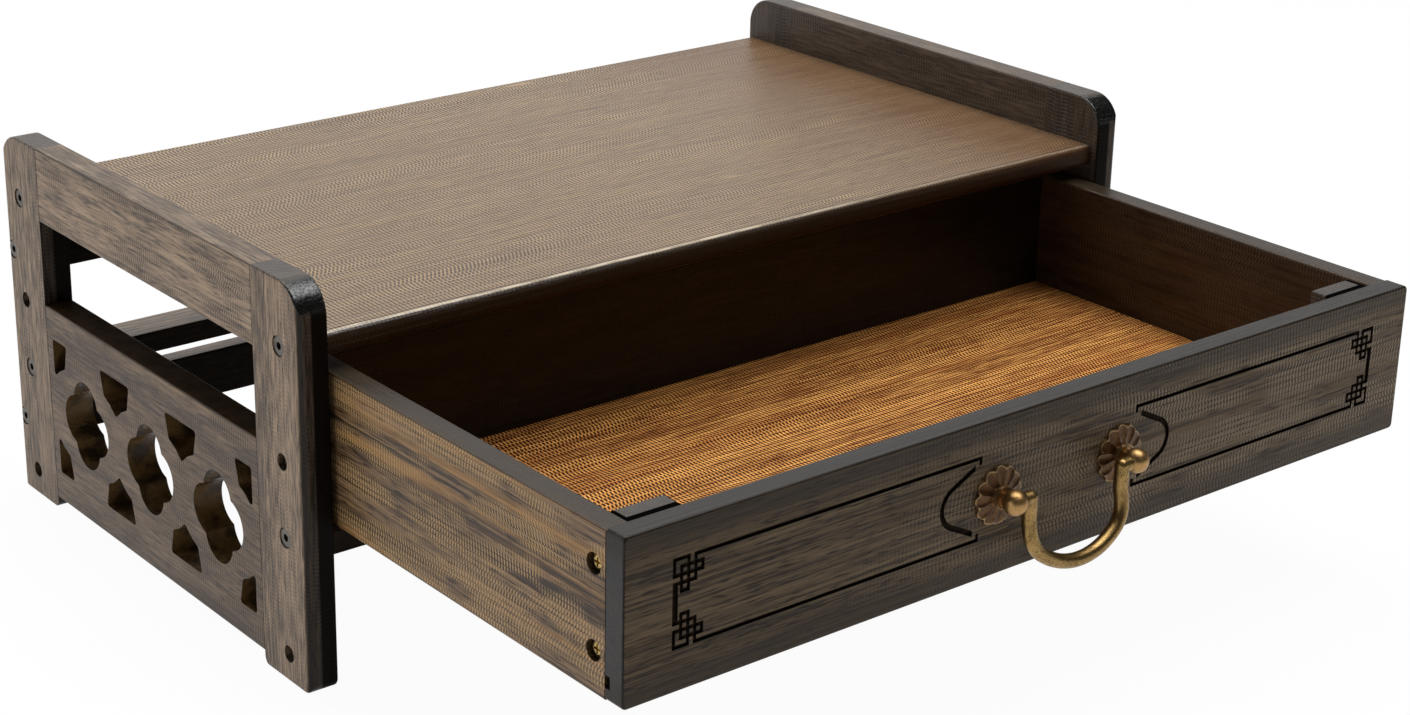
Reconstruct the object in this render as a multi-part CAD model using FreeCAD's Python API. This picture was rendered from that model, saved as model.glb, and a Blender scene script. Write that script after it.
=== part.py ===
import FreeCAD, Part
import math
import os

from FreeCAD import Placement, Rotation, Vector

# Laptop stand with a drawer, in stained bamboo boards.  Millimetres: +X right, +Y to the back, +Z up.
# Everything is drawn about the middle of the carcass with the drawer shut.  At the end the drawer is
# drawn out to its resting place and the whole stand is moved so that the origin is the middle of its
# outline, on the surface it stands on.

# ---- Carcass ----
overall_width = 440.0
overall_depth = 250.0
overall_height = 168.0
frame_thickness = 13.0
post_width = 34.0
post_top_radius = 14.0
post_foot_radius = 4.0
post_corner_radius = 3.0
edge_ease = 1.0
top_rail_height = 33.0
panel_lift = 5.5
panel_height = 91.5
joint_bevel = 0.4

# ---- Pierced fretwork of the side panels: a row of quatrefoils with kites above and below ----
fret_pitch = 57.2
fret_count = 3
quatrefoil_lobe_radius = 11.0
quatrefoil_lobe_offset = 9.0
quatrefoil_cusp_radius = 1.0
kite_reach = 31.6
kite_half_width = 13.1
kite_knee_height = 20.4
kite_knee_half_width = 10.4
kite_shoulder_height = 18.0
kite_shoulder_half_width = 5.2
kite_tip_height = 13.8
kite_corner_radius = 1.5
kite_shoulder_radius = 6.0

# ---- Shelf, rails and bearers between the side frames ----
shelf_top = 146.0
shelf_thickness = 10.0
shelf_front_setback = 4.0
shelf_back_setback = 1.5
shelf_nose_radius = 4.0
back_rail_thickness = 10.0
back_rail_height = 22.5
upper_back_rail_lift = 103.5
lower_back_rail_lift = 24.0
bearer_width = 20.0
bearer_height = 10.0
bearer_top = 67.0
runner_width = 20.0
strip_ease = 0.8

# ---- Drawer ----
drawer_side_gap = 2.5
drawer_running_gap = 0.3
drawer_height = 63.7
drawer_side_drop = 0.9
drawer_depth = 208.5
drawer_front_thickness = 10.0
drawer_side_thickness = 10.5
drawer_back_thickness = 10.0
drawer_corner_radius = 2.0
drawer_joint_ease = 0.6
drawer_opening = 177.5
floor_thickness = 4.8
floor_groove_height = 5.0
floor_groove_lift = 5.0
floor_groove_depth = 3.0
floor_end_gap = 0.3
corner_block_width = 23.5
corner_block_depth = 12.5
corner_block_drop = 1.6

# ---- Carving on the drawer front ----
carving_depth = 1.2
carving_width = 1.5
carving_side_width = 2.4
carving_bow_width = 2.2
carving_half_length = 183.2
carving_top_margin = 14.0
carving_bottom_margin = 17.0
key_fret_step = 3.03
key_fret_gap_steps = 3
bracket_cusp_offset = 41.5
bracket_reach = 60.0
bracket_slope = 26.6
bracket_radius = 8.3

# ---- Handle ----
handle_spacing = 64.6
handle_standoff = 9.4
handle_lift = 1.1
rosette_radius = 11.7
rosette_petals = 12
rosette_petal_radius = 3.3
rosette_cusp_radius = 0.3
rosette_rim_thickness = 1.3
rosette_boss_height = 3.0
rosette_boss_radius = 4.6
rosette_cup_height = 4.4
rosette_cup_wall = 0.8
petal_hollow_radius = 4.0
petal_hollow_depth = 0.7
stud_ball_radius = 4.9
stud_collar_radius = 3.6
stud_collar_thickness = 1.2
stud_neck_radius = 2.6
stud_shank_radius = 2.4
stud_shank_sink = 3.0
bail_rod_radius = 2.85
bail_pin_radius = 1.6
bail_pin_length = 5.0
bail_pin_clearance = 0.05
bail_side_gap = 0.3
bail_leg_inset = 7.8
bail_bend_drop = 9.0
bail_bend_radius = 12.0
bail_lean = 11.4
bail_leg_below_bend = 4.3
bail_bow_height = 16.9
bail_corner_radius = 13.0

# ---- Joinery and hardware ----
fit = 0.05
tenon_length = 24.0
tenon_thickness = 4.5
tenon_height = 23.0
tenon_inset = 6.5
tenon_shoulder = 1.0
tenon_end_gap = 0.3
upper_tenon_screw_height = 93.8
lower_tenon_screw_height = 12.2
tenon_screw_setback = 15.0
tenon_screw_length = 8.8
tenon_screw_sink = 2.0
tenon_screw_head_radius = 3.2
tenon_screw_hole_radius = 3.5
tenon_screw_shank_radius = 1.5
rail_dowel_radius = 3.0
rail_dowel_length = 30.0
rail_dowel_drop = 8.0
rail_dowel_pitch = 12.0
runner_dowel_radius = 2.5
runner_dowel_length = 24.0
runner_dowel_inset = 4.5
bolt_setback = 15.0
bolt_head_radius = 3.8
bolt_head_height = 3.0
bolt_socket_width = 3.0
bolt_socket_depth = 1.8
bolt_shank_radius = 2.0
bolt_length = 20.0
bolt_sink = 0.4
bolt_hole_radius = 4.2
insert_radius = 3.5
insert_length = 10.0
insert_sink = 0.3
drawer_screw_low = 16.3
drawer_screw_high = 48.5
drawer_screw_head_radius = 3.4
drawer_screw_hole_radius = 4.0
drawer_screw_sink = 1.6
drawer_screw_length = 19.0
drawer_screw_shank_radius = 1.75
front_dowel_radius = 2.5
front_dowel_sink = 6.0
front_dowel_length = 16.0
front_dowel_low = 26.0
front_dowel_high = 39.0
handle_screw_head_radius = 3.75
handle_screw_shank_radius = 1.8
handle_screw_length = 13.5
screw_head_height = 2.2
screw_head_round = 1.4
screw_recess_length = 3.6
screw_recess_width = 0.9
screw_recess_depth = 1.0
screw_tip_length = 2.5

# ---- Cutting tools run past a face by this much, so that no skin is left ----
overrun = 1.0
touching = 1e-6

# ---- Derived sizes ----
inner_half_width = overall_width / 2 - frame_thickness
half_depth = overall_depth / 2
post_inner = half_depth - post_width
post_bolt_line = half_depth - bolt_setback
back_bolt_line = half_depth - back_rail_thickness / 2
bearer_middle = bearer_top - bearer_height / 2
bearer_inner = half_depth - bearer_width
shelf_middle = shelf_top - shelf_thickness / 2
panel_middle = panel_lift + panel_height / 2
drawer_half_width = inner_half_width - drawer_side_gap
drawer_inner_half_width = drawer_half_width - drawer_side_thickness
drawer_bottom = bearer_top + drawer_running_gap
drawer_top = drawer_bottom + drawer_height
drawer_side_top = drawer_top - drawer_side_drop
drawer_face = -half_depth
front_back_face = drawer_face + drawer_front_thickness
back_inner_face = drawer_face + drawer_depth - drawer_back_thickness
groove_bottom = drawer_bottom + floor_groove_lift
groove_top = groove_bottom + floor_groove_height
block_middle = front_back_face + corner_block_depth / 2
pivot = Vector(0, drawer_face - handle_standoff, drawer_bottom + drawer_height / 2 + handle_lift)
bail_half_spread = handle_spacing / 2 - bail_leg_inset

# A drawing plane (u, v) is turned upright in one of two ways: seen from the side it becomes (Y, Z) and
# its thickness runs along +X; seen from the front it becomes (X, Z) and its thickness runs along -Y.
SIDE_VIEW = Rotation(Vector(1, 1, 1), 120)
FRONT_VIEW = Rotation(Vector(1, 0, 0), 90)
SIDES = {"left": -1, "right": 1}
ENDS = {"front": -1, "rear": 1}


def rounded_wire(corners, radii, closed=True):
    """Straight runs between corner points, with a tangent arc of its own radius at each corner."""
    count = len(corners)
    arrive, leave, arcs = [], [], []
    for index, corner in enumerate(corners):
        radius = radii[index]
        if radius == 0 or (not closed and index in (0, count - 1)):
            arrive.append(corner)
            leave.append(corner)
            arcs.append(None)
            continue
        back = (corners[index - 1] - corner).normalize()
        ahead = (corners[(index + 1) % count] - corner).normalize()
        half_angle = back.getAngle(ahead) / 2
        bisector = (back + ahead).normalize()
        start = corner + back * (radius / math.tan(half_angle))
        end = corner + ahead * (radius / math.tan(half_angle))
        middle = corner + bisector * (radius / math.sin(half_angle) - radius)
        arrive.append(start)
        leave.append(end)
        arcs.append(Part.Arc(start, middle, end).toShape())
    edges = []
    for index in range(count):
        if arcs[index]:
            edges.append(arcs[index])
        following = (index + 1) % count
        if following == 0 and not closed:
            break
        if leave[index].distanceToPoint(arrive[following]) > touching:
            edges.append(Part.LineSegment(leave[index], arrive[following]).toShape())
    return Part.Wire(edges)


def lobed_wire(lobes, offset, radius, cusp_radius):
    """Ring of equal round lobes about the origin, with the cusps between them softened."""
    half_pitch = math.pi / lobes
    reach = radius + cusp_radius
    cusp_centre = offset * math.cos(half_pitch) + math.sqrt(reach**2 - (offset * math.sin(half_pitch))**2)
    edges = []
    for index in range(lobes):
        angle = 2 * half_pitch * index
        lobe = polar(offset, angle)
        before = polar(cusp_centre, angle - half_pitch)
        after = polar(cusp_centre, angle + half_pitch)
        share = radius / reach
        start = lobe + (before - lobe) * share
        end = lobe + (after - lobe) * share
        edges.append(Part.Arc(start, polar(offset + radius, angle), end).toShape())
        turned = Placement(Vector(), Rotation(Vector(0, 0, 1), math.degrees(2 * half_pitch)))
        cusp_middle = polar(cusp_centre - cusp_radius, angle + half_pitch)
        edges.append(Part.Arc(end, cusp_middle, turned.multVec(start)).toShape())
    return Part.Wire(edges)


def polar(radius, angle):
    return Vector(radius * math.cos(angle), radius * math.sin(angle), 0)


def prism(outline, thickness, turn, at):
    """Solid of a closed outline in the drawing plane, stood upright with its corner of origin at a point."""
    solid = Part.Face(outline).extrude(Vector(0, 0, thickness))
    solid.Placement = Placement(at, turn)
    return solid


def block(x_range, y_range, z_range):
    low = Vector(min(x_range), min(y_range), min(z_range))
    high = Vector(max(x_range), max(y_range), max(z_range))
    size = high - low
    return Part.makeBox(size.x, size.y, size.z, low)


def strip_along_x(half_length, y_range, z_range, radii):
    """Board running along X, its section given by two ranges and the radii of its four long edges."""
    corners = [Vector(min(y_range), min(z_range)), Vector(max(y_range), min(z_range)),
               Vector(max(y_range), max(z_range)), Vector(min(y_range), max(z_range))]
    return prism(rounded_wire(corners, radii), 2 * half_length, SIDE_VIEW, Vector(-half_length, 0, 0))


def strip_along_y(x_range, y_range, z_range, radii):
    """Board running along Y, its section given by two ranges and the radii of its four long edges."""
    corners = [Vector(min(x_range), min(z_range)), Vector(max(x_range), min(z_range)),
               Vector(max(x_range), max(z_range)), Vector(min(x_range), max(z_range))]
    length = max(y_range) - min(y_range)
    return prism(rounded_wire(corners, radii), length, FRONT_VIEW, Vector(0, max(y_range), 0))


def rod(start, end, radius):
    return Part.makeCylinder(radius, (end - start).Length, start, end - start)


def turned_piece(profile, at, direction):
    """Lathe-turned solid: profile points are (distance along the axis, radius)."""
    points = [Vector(radius, 0, along) for along, radius in profile]
    solid = Part.Face(Part.makePolygon(points + points[:1])).revolve(Vector(), Vector(0, 0, 1), 360)
    solid.Placement = Placement(at, Rotation(Vector(0, 0, 1), direction))
    return solid


# ---- Places of the fasteners in the side frames ----

def bolt_places():
    """(y, z) of each socket bolt, the same in both side frames."""
    places = []
    for end in ENDS.values():
        places.append((end * post_bolt_line, shelf_middle))
        places.append((end * post_bolt_line, bearer_middle))
    places.append((back_bolt_line, upper_back_rail_lift + back_rail_height / 2))
    places.append((back_bolt_line, lower_back_rail_lift + back_rail_height / 2))
    return places


def tenon_screw_places():
    places = []
    for end in ENDS.values():
        for height in (lower_tenon_screw_height, upper_tenon_screw_height):
            places.append((end * (half_depth - tenon_screw_setback), height))
    return places


def tenon_ranges():
    """Height ranges of the two tenons at each end of a fretwork panel."""
    low = panel_lift + tenon_shoulder
    high = panel_lift + panel_height - tenon_shoulder
    return [(low, low + tenon_height), (high - tenon_height, high)]


def rail_dowel_heights():
    first = overall_height - rail_dowel_drop
    return [first, first - rail_dowel_pitch]


def runner_dowel_places():
    x = inner_half_width - runner_width + runner_dowel_inset
    return [(side * x, end * bearer_inner) for side in SIDES.values() for end in ENDS.values()]


def outer_face(side):
    return side * overall_width / 2


def inward(side, x, y, z):
    """Point a given distance in from the outer face of a side frame."""
    return Vector(outer_face(side) - side * x, y, z)


# ---- Fasteners ----

def socket_bolt(side, y, z):
    """Flush bolt with a hexagon socket, its head sunk in the post and its shank in a threaded insert."""
    inside = Vector(-side, 0, 0)
    top = inward(side, bolt_sink, y, z)
    head = Part.makeCylinder(bolt_head_radius, bolt_head_height, top, inside)
    shank = Part.makeCylinder(bolt_shank_radius, bolt_length, top, inside)
    corner_radius = bolt_socket_width / math.sqrt(3)
    corners = [polar(corner_radius, math.radians(60 * index)) for index in range(6)]
    hexagon = Part.Face(Part.makePolygon(corners + corners[:1]))
    socket = hexagon.extrude(Vector(0, 0, bolt_socket_depth))
    socket.Placement = Placement(top, Rotation(Vector(0, 0, 1), inside))
    return head.fuse(shank).removeSplitter().cut(socket)


def bolt_hole(side, y, z):
    inside = Vector(-side, 0, 0)
    sunk = Part.makeCylinder(bolt_hole_radius, bolt_sink + bolt_head_height, inward(side, 0, y, z), inside)
    through = Part.makeCylinder(bolt_shank_radius + fit, frame_thickness, inward(side, 0, y, z), inside)
    return sunk.fuse(through)


def threaded_insert(side, y, z):
    inside = Vector(-side, 0, 0)
    start = inward(side, frame_thickness + insert_sink, y, z)
    sleeve = Part.makeCylinder(insert_radius, insert_length, start, inside)
    bore = Part.makeCylinder(bolt_shank_radius + fit, insert_length, start, inside)
    return sleeve.cut(bore)


def insert_hole(side, y, z):
    start = inward(side, frame_thickness, y, z)
    return Part.makeCylinder(insert_radius + fit, insert_sink + insert_length, start, Vector(-side, 0, 0))


def cross_screw(top, direction, length, head_radius, shank_radius):
    """Wood screw with a low domed head and a cross recess; top is the crown of its head."""
    profile = [(0, 0)]
    for turn in (0, math.pi / 4, math.pi / 2):
        drop = screw_head_round * (1 - math.cos(turn))
        profile.append((drop, head_radius - screw_head_round * (1 - math.sin(turn))))
    profile += [(screw_head_height, head_radius), (screw_head_height, shank_radius),
                (length - screw_tip_length, shank_radius), (length, 0)]
    screw = turned_piece(profile, top, direction)
    half, thin = screw_recess_length / 2, screw_recess_width / 2
    slot = Part.makeBox(2 * half, 2 * thin, screw_recess_depth, Vector(-half, -thin, 0))
    cross_slot = Part.makeBox(2 * thin, 2 * half, screw_recess_depth, Vector(-thin, -half, 0))
    recess = slot.fuse(cross_slot)
    recess.Placement = Placement(top, Rotation(Vector(0, 0, 1), direction))
    return screw.cut(recess)


def screw_hole(surface, direction, sink, length, hole_radius, shank_radius):
    """Sunk hole for a screw's head, and the hole for its shank beyond it."""
    sunk = Part.makeCylinder(hole_radius, sink + screw_head_height, surface, direction)
    pilot = Part.makeCylinder(shank_radius + fit, sink + length + fit, surface, direction)
    return sunk.fuse(pilot)


def tenon_screw_hole(side, y, z):
    return screw_hole(inward(side, 0, y, z), Vector(-side, 0, 0), tenon_screw_sink, tenon_screw_length,
                      tenon_screw_hole_radius, tenon_screw_shank_radius)


def tenon_screw(side, y, z):
    return cross_screw(inward(side, tenon_screw_sink, y, z), Vector(-side, 0, 0), tenon_screw_length,
                       tenon_screw_head_radius, tenon_screw_shank_radius)


def dowel(middle, axis, length, radius):
    """Wooden dowel, centred on a point."""
    return rod(middle - axis * (length / 2), middle + axis * (length / 2), radius)


def rail_dowel(side, end, height, extra=0.0):
    middle = inward(side, frame_thickness / 2, end * post_inner, height)
    return dowel(middle, Vector(0, 1, 0), rail_dowel_length + 2 * extra, rail_dowel_radius + extra)


def runner_dowel(x, y, extra=0.0):
    length = runner_dowel_length + 2 * extra
    return dowel(Vector(x, y, bearer_middle), Vector(0, 1, 0), length, runner_dowel_radius + extra)


# ---- Side frames ----

def tenon(side, end, heights, extra=0.0, end_gap=0.0):
    """Tenon of a fretwork panel, or its mortise when given some extra room."""
    outside = outer_face(side) - side * (tenon_inset - extra)
    inside = outer_face(side) - side * (tenon_inset + tenon_thickness + extra)
    tip = end * (post_inner + tenon_length + end_gap)
    return block((outside, inside), (end * post_inner, tip), (heights[0] - extra, heights[1] + extra))


def post(side, end):
    """Corner post: rounded at its outer top corner, eased all round except where rail and panel meet it."""
    inner, outer = end * post_inner, end * half_depth
    corners = [Vector(inner, 0), Vector(outer, 0),
               Vector(outer, overall_height), Vector(inner, overall_height)]
    outline = rounded_wire(corners, [0, post_foot_radius, post_top_radius, 0])
    start = min(outer_face(side), side * inner_half_width)
    solid = prism(outline, frame_thickness, SIDE_VIEW, Vector(start, 0, 0))
    faces_x = (outer_face(side), side * inner_half_width)
    eased = [edge for edge in solid.Edges if lies_on_rim(edge, faces_x, inner)]
    solid = solid.makeFillet(edge_ease, eased)
    solid = solid.cut([foot_corner_tool(inner, end), upright_corner_tool(side, outer, end)])
    for heights in tenon_ranges():
        solid = solid.cut(tenon(side, end, heights, fit, tenon_end_gap))
    for height in rail_dowel_heights():
        solid = solid.cut(rail_dowel(side, end, height, fit))
    for y, z in bolt_places():
        if y * end > 0:
            solid = solid.cut(bolt_hole(side, y, z))
    for y, z in tenon_screw_places():
        if y * end > 0:
            solid = solid.cut(tenon_screw_hole(side, y, z))
    return solid


def lies_on_rim(edge, faces_x, joint_y):
    """True for an edge round one of a post's two broad faces, but not along the joint line."""
    box = edge.BoundBox
    flat = any(abs(box.XMin - x) < touching and abs(box.XMax - x) < touching for x in faces_x)
    on_joint = abs(box.YMin - joint_y) < touching and abs(box.YMax - joint_y) < touching
    return flat and not on_joint


def foot_corner_tool(inner, end):
    """Waste outside the rounded inner corner of a post's foot."""
    radius = post_foot_radius
    y_range = (inner - end * overrun, inner + end * radius)
    waste = block((-overall_width, overall_width), y_range, (-overrun, radius))
    centre = Vector(-overall_width, inner + end * radius, radius)
    return waste.cut(Part.makeCylinder(radius, 2 * overall_width, centre, Vector(1, 0, 0)))


def upright_corner_tool(side, outer, end):
    """Waste outside the rounded outer corner that runs up a post."""
    radius = post_corner_radius
    axis_x = outer_face(side) - side * radius
    axis_y = outer - end * radius
    x_range = (axis_x, outer_face(side) + side * overrun)
    waste = block(x_range, (axis_y, outer + end * overrun), (-overrun, overall_height + overrun))
    length = overall_height + 4 * overrun
    return waste.cut(Part.makeCylinder(radius, length, Vector(axis_x, axis_y, -2 * overrun)))


def joint_bevels(side, z_range):
    """Fine bevels at both ends of a rail or panel, which leave a thin line at its joint with the post."""
    tools = []
    for end in ENDS.values():
        edge = Vector(outer_face(side), end * post_inner, min(z_range))
        along = edge - Vector(0, end * joint_bevel, 0)
        deep = edge - Vector(side * joint_bevel, 0, 0)
        triangle = Part.Face(Part.makePolygon([edge, along, deep, edge]))
        tools.append(triangle.extrude(Vector(0, 0, max(z_range) - min(z_range))))
    return tools


def top_rail(side):
    z_range = (overall_height - top_rail_height, overall_height)
    x_range = (outer_face(side), side * inner_half_width)
    rail = strip_along_y(x_range, (-post_inner, post_inner), z_range, [edge_ease] * 4)
    rail = rail.cut(joint_bevels(side, z_range))
    holes = [rail_dowel(side, end, height, fit) for end in ENDS.values() for height in rail_dowel_heights()]
    return rail.cut(holes)


def quatrefoil():
    return lobed_wire(4, quatrefoil_lobe_offset, quatrefoil_lobe_radius, quatrefoil_cusp_radius)


def kite(first_half, second_half):
    """Kite-shaped opening above a pair of quatrefoils; half of it is left out beside a post."""
    knee = Vector(kite_knee_half_width, kite_knee_height)
    shoulder = Vector(kite_shoulder_half_width, kite_shoulder_height)
    corners, radii = [Vector(0, kite_tip_height)], [kite_corner_radius]
    if second_half:
        corners += [shoulder, knee, Vector(kite_half_width, kite_reach)]
        radii += [kite_shoulder_radius, kite_corner_radius, kite_corner_radius]
    else:
        corners.append(Vector(0, kite_reach))
        radii.append(kite_corner_radius)
    if first_half:
        corners += [Vector(-kite_half_width, kite_reach), Vector(-knee.x, knee.y)]
        corners.append(Vector(-shoulder.x, shoulder.y))
        radii += [kite_corner_radius, kite_corner_radius, kite_shoulder_radius]
    else:
        corners.append(Vector(0, kite_reach))
        radii.append(kite_corner_radius)
    return rounded_wire(corners, radii)


def fret_openings():
    """Outlines of all openings of a fretwork panel, about the panel's middle."""
    openings = []
    row_middle = (fret_count - 1) / 2
    for index in range(fret_count):
        shape = quatrefoil()
        shape.translate(Vector((index - row_middle) * fret_pitch, 0, 0))
        openings.append(shape)
    for index in range(fret_count + 1):
        shape = kite(index > 0, index < fret_count)
        shape.translate(Vector((index - row_middle - 0.5) * fret_pitch, 0, 0))
        openings.append(shape)
        below = shape.copy()
        below.rotate(Vector(), Vector(1, 0, 0), 180)
        openings.append(below)
    return openings


def fret_panel(side):
    """Panel pierced with quatrefoils and kites, with two tenons at each end."""
    z_range = (panel_lift, panel_lift + panel_height)
    x_range = (outer_face(side), side * inner_half_width)
    panel = strip_along_y(x_range, (-post_inner, post_inner), z_range, [edge_ease] * 4)
    panel = panel.cut(joint_bevels(side, z_range))
    for outline in fret_openings():
        panel = panel.cut(prism(outline, frame_thickness, SIDE_VIEW, Vector(min(x_range), 0, panel_middle)))
    for end in ENDS.values():
        for heights in tenon_ranges():
            panel = panel.fuse(tenon(side, end, heights))
    holes = [tenon_screw_hole(side, y, z) for y, z in tenon_screw_places()]
    return panel.cut(holes).removeSplitter()


# ---- Boards between the side frames ----

def insert_holes(places):
    return [insert_hole(side, y, z) for side in SIDES.values() for y, z in places]


def shelf_board():
    """Shelf with a rounded nose at the front, bolted between the side frames."""
    y_range = (-half_depth + shelf_front_setback, half_depth - shelf_back_setback)
    radii = [shelf_nose_radius, edge_ease, edge_ease, shelf_nose_radius]
    board = strip_along_x(inner_half_width, y_range, (shelf_top - shelf_thickness, shelf_top), radii)
    return board.cut(insert_holes([place for place in bolt_places() if place[1] == shelf_middle]))


def back_rail(lift):
    y_range = (half_depth - back_rail_thickness, half_depth)
    rail = strip_along_x(inner_half_width, y_range, (lift, lift + back_rail_height), [edge_ease] * 4)
    return rail.cut(insert_holes([(back_bolt_line, lift + back_rail_height / 2)]))


def bearer(end):
    """Cross strip under the drawer, which also ties the side frames together."""
    y_range = (end * bearer_inner, end * half_depth)
    z_range = (bearer_top - bearer_height, bearer_top)
    strip = strip_along_x(inner_half_width, y_range, z_range, [strip_ease] * 4)
    strip = strip.cut(insert_holes([(end * post_bolt_line, bearer_middle)]))
    return strip.cut([runner_dowel(x, y, fit) for x, y in runner_dowel_places() if y * end > 0])


def runner(side):
    """Strip along the foot of the drawer's side, dowelled between the bearers."""
    x_range = (side * (inner_half_width - runner_width), side * inner_half_width)
    z_range = (bearer_top - bearer_height, bearer_top)
    strip = strip_along_y(x_range, (-bearer_inner, bearer_inner), z_range, [0] * 4)
    return strip.cut([runner_dowel(x, y, fit) for x, y in runner_dowel_places() if x * side > 0])


# ---- Drawer ----

def drawer_screw_heights():
    return [drawer_bottom + drawer_screw_low, drawer_bottom + drawer_screw_high]


def drawer_screw_lines():
    return {"corner_block": block_middle, "drawer_back": back_inner_face + drawer_back_thickness / 2}


def drawer_screw_hole(side, y, z):
    surface = Vector(side * drawer_half_width, y, z)
    return screw_hole(surface, Vector(-side, 0, 0), drawer_screw_sink, drawer_screw_length,
                      drawer_screw_hole_radius, drawer_screw_shank_radius)


def drawer_screw(side, y, z):
    top = Vector(side * (drawer_half_width - drawer_screw_sink), y, z)
    return cross_screw(top, Vector(-side, 0, 0), drawer_screw_length, drawer_screw_head_radius,
                       drawer_screw_shank_radius)


def floor_groove(x_range, y_range):
    return block(x_range, y_range, (groove_bottom, groove_top))


def front_dowel_places():
    x = drawer_inner_half_width - corner_block_width / 2
    heights = (drawer_bottom + front_dowel_low, drawer_bottom + front_dowel_high)
    return [(side * x, z) for side in SIDES.values() for z in heights]


def front_dowel(x, z, extra=0.0):
    start = Vector(x, front_back_face - front_dowel_sink - extra, z)
    end = start + Vector(0, front_dowel_length + 2 * extra, 0)
    return rod(start, end, front_dowel_radius + extra)


def carved_line(x_range, z_range):
    """Straight groove in the drawer front, given by the ranges that it covers."""
    return block(x_range, (drawer_face - overrun, drawer_face + carving_depth), z_range)


def key_fret(side, up, corner):
    """Corner of stepped key fret, drawn on a square grid and the same read across as read down."""
    strokes = [(0, 0, 2), (1, 1, 4), (2, 0, 4), (3, 0, 3), (4, 1, 2)]  # grid line, first and last step on it
    half = carving_width / 2
    grooves = []
    for line, first, last in strokes:
        along = (first * key_fret_step - half, last * key_fret_step + half)
        across = (line * key_fret_step - half, line * key_fret_step + half)
        for x_steps, z_steps in ((along, across), (across, along)):
            x_range = [corner.x - side * step for step in x_steps]
            z_range = [corner.z - up * step for step in z_steps]
            grooves.append(carved_line(x_range, z_range))
    return grooves


def bracket_curve(side, top, bottom):
    """Bracket-shaped groove that turns in to the handle: two slopes joined by a round bow."""
    middle = (top + bottom) / 2
    slope = math.radians(bracket_slope)
    vertex = bracket_reach + bracket_radius / math.sin(slope) - bracket_radius
    start_height = (vertex - bracket_cusp_offset) * math.tan(slope)
    wires = []
    for shift in (-carving_bow_width / 2, carving_bow_width / 2):
        point = vertex + shift / math.sin(slope)
        foot = point - start_height / math.tan(slope)
        corners = [Vector(side * foot, start_height), Vector(side * point, 0),
                   Vector(side * foot, -start_height)]
        wires.append(rounded_wire(corners, [0, bracket_radius + shift, 0]))
    depth = carving_depth + overrun
    at = Vector(0, drawer_face + carving_depth, middle)
    wide = prism(wires[1], depth, FRONT_VIEW, at)
    narrow = prism(wires[0], depth, FRONT_VIEW, at)
    return wide.cut(narrow), start_height


def front_carving():
    """All grooves of the drawer front: a frame with key frets in its corners, open at the handle."""
    top = drawer_top - carving_top_margin
    bottom = drawer_bottom + carving_bottom_margin
    half = carving_width / 2
    grooves = []
    for side in SIDES.values():
        bow, bow_height = bracket_curve(side, top, bottom)
        grooves.append(bow)
        cusp = side * bracket_cusp_offset
        fret_start = side * (carving_half_length - key_fret_gap_steps * key_fret_step)
        for up, line in ((1, top), (-1, bottom)):
            grooves += key_fret(side, up, Vector(side * carving_half_length, 0, line))
            grooves.append(carved_line((cusp, fret_start), (line - half, line + half)))
            bow_end = (top + bottom) / 2 + up * (bow_height - half)
            grooves.append(carved_line((cusp - half, cusp + half), (line + up * half, bow_end)))
        outer = side * (carving_half_length + half)
        reach = key_fret_gap_steps * key_fret_step
        grooves.append(carved_line((outer, outer - side * carving_side_width), (top - reach, bottom + reach)))
    return grooves


def rim_edges(solid, axis, level):
    """Edges that lie wholly in the plane at a level along one axis, 0, 1 or 2."""
    edges = []
    for edge in solid.Edges:
        heights = [vertex.Point[axis] for vertex in edge.Vertexes]
        if all(abs(height - level) < touching for height in heights):
            edges.append(edge)
    return edges


def drawer_front():
    """Carved front board, with the grooves for the floor and the holes for dowels and handle."""
    corners = [Vector(-drawer_half_width, drawer_bottom), Vector(drawer_half_width, drawer_bottom),
               Vector(drawer_half_width, drawer_top), Vector(-drawer_half_width, drawer_top)]
    outline = rounded_wire(corners, [drawer_corner_radius] * 4)
    board = prism(outline, drawer_front_thickness, FRONT_VIEW, Vector(0, front_back_face, 0))
    for rim_y, ease in ((drawer_face, edge_ease), (front_back_face, drawer_joint_ease)):
        board = board.makeFillet(ease, rim_edges(board, 1, rim_y))
    tools = front_carving()
    groove_end = drawer_half_width + overrun
    groove_depth = (front_back_face - floor_groove_depth, front_back_face)
    tools.append(floor_groove((-groove_end, groove_end), groove_depth))
    tools += [front_dowel(x, z, fit) for x, z in front_dowel_places()]
    for side in SIDES.values():
        centre = stud_centre(side)
        sunk = centre + Vector(0, stud_shank_sink, 0)
        through = centre + Vector(0, drawer_front_thickness, 0)
        tools.append(rod(centre, sunk, stud_shank_radius + fit))
        tools.append(rod(centre, through, handle_screw_shank_radius + fit))
    return board.cut(tools)


def drawer_side(side):
    """Side board behind the front's end, grooved for the floor and sunk for its screws."""
    x_range = (side * drawer_half_width, side * drawer_inner_half_width)
    y_range = (front_back_face, drawer_face + drawer_depth)
    radii = [edge_ease] * 4
    board = strip_along_y(x_range, y_range, (drawer_bottom, drawer_side_top), radii)
    groove_floor = side * (drawer_inner_half_width + floor_groove_depth)
    tools = [floor_groove((side * drawer_inner_half_width, groove_floor), y_range)]
    for y in drawer_screw_lines().values():
        tools += [drawer_screw_hole(side, y, z) for z in drawer_screw_heights()]
    return board.cut(tools)


def drawer_back():
    half = drawer_inner_half_width
    y_range = (back_inner_face, drawer_face + drawer_depth)
    board = strip_along_x(half, y_range, (drawer_bottom, drawer_side_top), [edge_ease] * 4)
    tools = [floor_groove((-half, half), (back_inner_face, back_inner_face + floor_groove_depth))]
    for side in SIDES.values():
        line = drawer_screw_lines()["drawer_back"]
        tools += [drawer_screw_hole(side, line, z) for z in drawer_screw_heights()]
    return board.cut(tools)


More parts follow.
